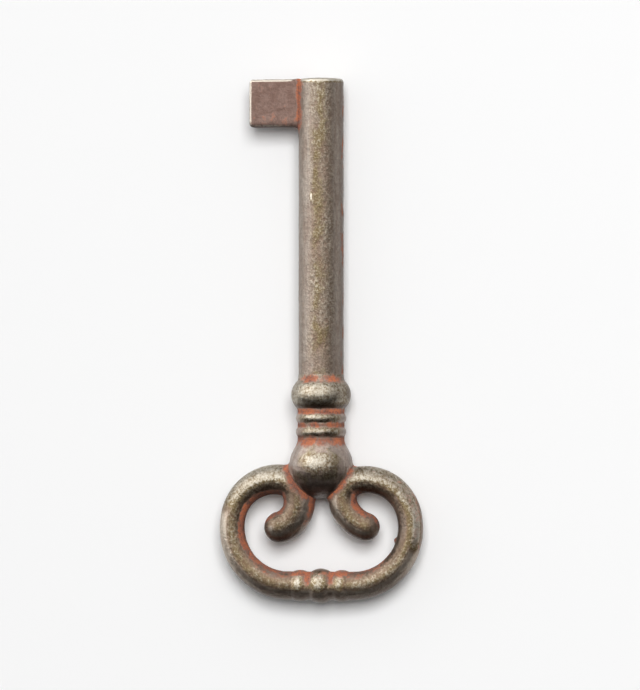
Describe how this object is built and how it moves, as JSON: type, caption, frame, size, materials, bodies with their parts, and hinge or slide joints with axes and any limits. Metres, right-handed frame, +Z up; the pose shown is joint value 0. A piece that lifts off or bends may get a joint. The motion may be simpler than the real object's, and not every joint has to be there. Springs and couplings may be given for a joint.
{
  "type": "rim lock key",
  "caption": "Hollow-barrel rim lock key with a plain rectangular bit, a turned collar, neck and knop, and an open bow of two inward scrolls.",
  "frame": {"origin": "under the middle of the key, on the surface that the knop rests on", "axes": "+Y along the barrel to the nose, bit towards -X, bow flat across X and Y, +Z up"},
  "size_m": [0.0316, 0.08, 0.0097],
  "materials": {
    "barrel_metal": "rubbed dark patina, satin",
    "bit_metal": "rough reddish patina, matt",
    "turned_metal": "rubbed dark patina with rust in the grooves, satin",
    "pin_metal": "plain, unseen",
    "scroll_metal": "rubbed dark patina with rust in the hollows, satin"
  },
  "bodies": {
    "root": {"barrel": "barrel_metal", "bit": "bit_metal", "collar": "turned_metal", "neck_sleeve": "turned_metal", "knop": "turned_metal", "stem_pin": "pin_metal", "scroll_right": "scroll_metal", "scroll_left": "scroll_metal", "bow_band": "turned_metal"}
  },
  "joints": []
}
